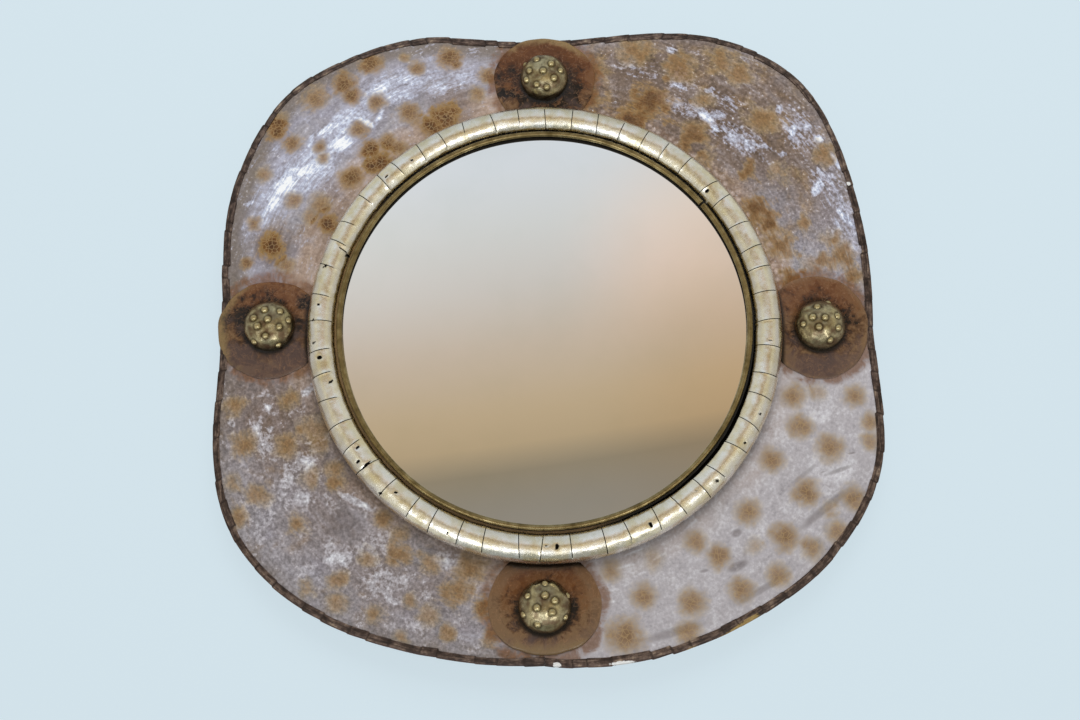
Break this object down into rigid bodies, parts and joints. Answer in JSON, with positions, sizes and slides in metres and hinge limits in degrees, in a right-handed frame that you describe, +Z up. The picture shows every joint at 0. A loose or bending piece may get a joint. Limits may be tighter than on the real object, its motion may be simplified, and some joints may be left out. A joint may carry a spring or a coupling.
{
  "type": "resin wall mirror",
  "caption": "Round wall mirror in a frame of mottled pearly resin lobes, with a kerfed silvered moulding, a split brass ring, granulated brass studs on brown discs and a hinged hanging loop.",
  "frame": {"origin": "middle of the backing board's rear face, on the wall", "axes": "+Z up the wall, +Y into the wall, +X to the right for someone who looks into the mirror"},
  "size_m": [0.4631, 0.0403, 0.4633],
  "materials": {
    "board_wood": "stained plywood",
    "pearl_resin": "pearly mottled resin with tan spots",
    "edge_bronze": "dark bronzed foil, crimped",
    "bed_black": "matt black paint",
    "tape_foam": "foam tape",
    "mirror_glass": "silvered float glass",
    "silvered_metal": "polished silvered half-round, worn, with dark saw kerfs",
    "wire_brass": "bright brass wire",
    "fastener_steel": "zinc plated",
    "brown_resin": "translucent brown resin",
    "stud_brass": "cast granulated brass, darkened in the hollows",
    "hanger_steel": "nickel plated"
  },
  "bodies": {
    "mirror": {"backing_board": "board_wood", "lobe_upper_right": "pearl_resin", "lobe_upper_left": "pearl_resin", "lobe_lower_left": "pearl_resin", "lobe_lower_right": "pearl_resin", "edge_band_upper_right": "edge_bronze", "edge_band_upper_left": "edge_bronze", "edge_band_lower_left": "edge_bronze", "edge_band_lower_right": "edge_bronze", "bed_plate": "bed_black", "glass_tape": "tape_foam", "mirror_glass": "mirror_glass", "moulding_ring": "silvered_metal", "wire_ring": "wire_brass", "clamp_screws": "fastener_steel", "disc_right": "brown_resin", "disc_top": "brown_resin", "disc_left": "brown_resin", "disc_bottom": "brown_resin", "stud_right": "stud_brass", "stud_top": "stud_brass", "stud_left": "stud_brass", "stud_bottom": "stud_brass", "stud_beads_right": "stud_brass", "stud_beads_top": "stud_brass", "stud_beads_left": "stud_brass", "stud_beads_bottom": "stud_brass", "stud_posts": "fastener_steel", "stud_washers": "fastener_steel", "stud_nuts": "fastener_steel", "hanger_plate": "hanger_steel", "hanger_screws": "fastener_steel"},
    "loop": {"hanger_loop": "hanger_steel"}
  },
  "joints": [
    {"name": "loop_hinge", "type": "hinge", "parent": "mirror", "child": "loop", "pos_m": [0, -0.00434, 0.128], "axis": [1, 0, 0], "range_deg": [0, 174]}
  ]
}
